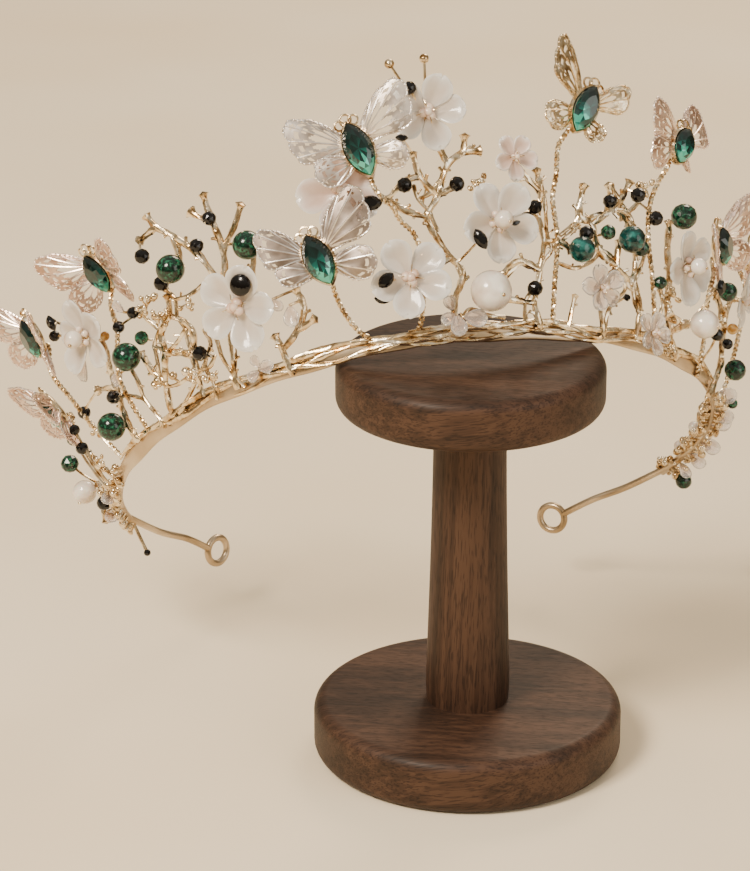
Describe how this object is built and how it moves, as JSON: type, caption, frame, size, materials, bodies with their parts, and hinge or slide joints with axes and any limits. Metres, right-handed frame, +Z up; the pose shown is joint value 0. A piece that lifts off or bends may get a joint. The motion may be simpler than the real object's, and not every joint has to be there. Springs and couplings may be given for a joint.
{
  "type": "butterfly tiara on a turned wooden display stand",
  "caption": "Open gilt band with coral-like twigs, pierced butterflies, frosted flowers, pearls and green stones, leaning on a round wooden stand.",
  "frame": {"origin": "centre of the stand's underside, on the surface that it stands on", "axes": "+Z up along the stand's axis, -Y towards the viewer and the tiara's front, +X to the viewer's right"},
  "size_m": [0.2212, 0.1518, 0.1896],
  "materials": {
    "walnut": "satin oiled",
    "gilt_metal": "polished pale gold plate",
    "emerald_glass": "faceted and foiled",
    "green_glass": "faceted crackle glass",
    "teal_glass": "faceted",
    "frosted_petal": "frosted milky",
    "black_glass": "faceted jet",
    "pearl": "pearl lustre"
  },
  "bodies": {
    "root": {"stand_base": "walnut", "stand_stem": "walnut", "stand_top": "walnut", "band": "gilt_metal", "twigs_centre": "gilt_metal", "twigs_centre_right": "gilt_metal", "twigs_far_left": "gilt_metal", "twigs_left_end": "gilt_metal", "twigs_left_front": "gilt_metal", "twigs_left_rear": "gilt_metal", "twigs_left_upper": "gilt_metal", "twigs_right": "gilt_metal", "twigs_right_coral": "gilt_metal", "twigs_right_rear": "gilt_metal", "butterfly_far_left": "gilt_metal", "butterfly_left_low": "gilt_metal", "butterfly_lower_left": "gilt_metal", "butterfly_right": "gilt_metal", "butterfly_right_rear": "gilt_metal", "butterfly_right_side": "gilt_metal", "butterfly_upper_far_left": "gilt_metal", "butterfly_upper_left": "gilt_metal", "butterfly_upper_right": "gilt_metal", "stone_far_left": "emerald_glass", "stone_left_low": "emerald_glass", "stone_lower_left": "emerald_glass", "stone_right": "emerald_glass", "stone_right_rear": "emerald_glass", "stone_right_side": "emerald_glass", "stone_upper_far_left": "emerald_glass", "stone_upper_left": "emerald_glass", "stone_upper_right": "emerald_glass", "flower_centre": "frosted_petal", "flower_centre_low": "frosted_petal", "flower_enamel": "frosted_petal", "flower_far_left": "frosted_petal", "flower_left": "frosted_petal", "flower_low_right": "frosted_petal", "flower_right_rear": "frosted_petal", "flower_right_side": "frosted_petal", "flower_small_right": "frosted_petal", "flower_top": "frosted_petal", "flower_upper_left": "frosted_petal", "flower_pearl_centre": "pearl", "flower_pearl_far_left": "pearl", "flower_pearl_right_side": "pearl", "pearl_front": "pearl", "pearl_left": "pearl", "pearl_right": "pearl", "bead_green_end": "green_glass", "bead_green_flower": "green_glass", "bead_green_left": "green_glass", "bead_green_low_left": "green_glass", "bead_green_rear": "green_glass", "bead_green_upper_left": "green_glass", "bead_green_upper_right": "green_glass", "bead_teal": "teal_glass", "bead_teal_right": "teal_glass"}
  },
  "joints": []
}
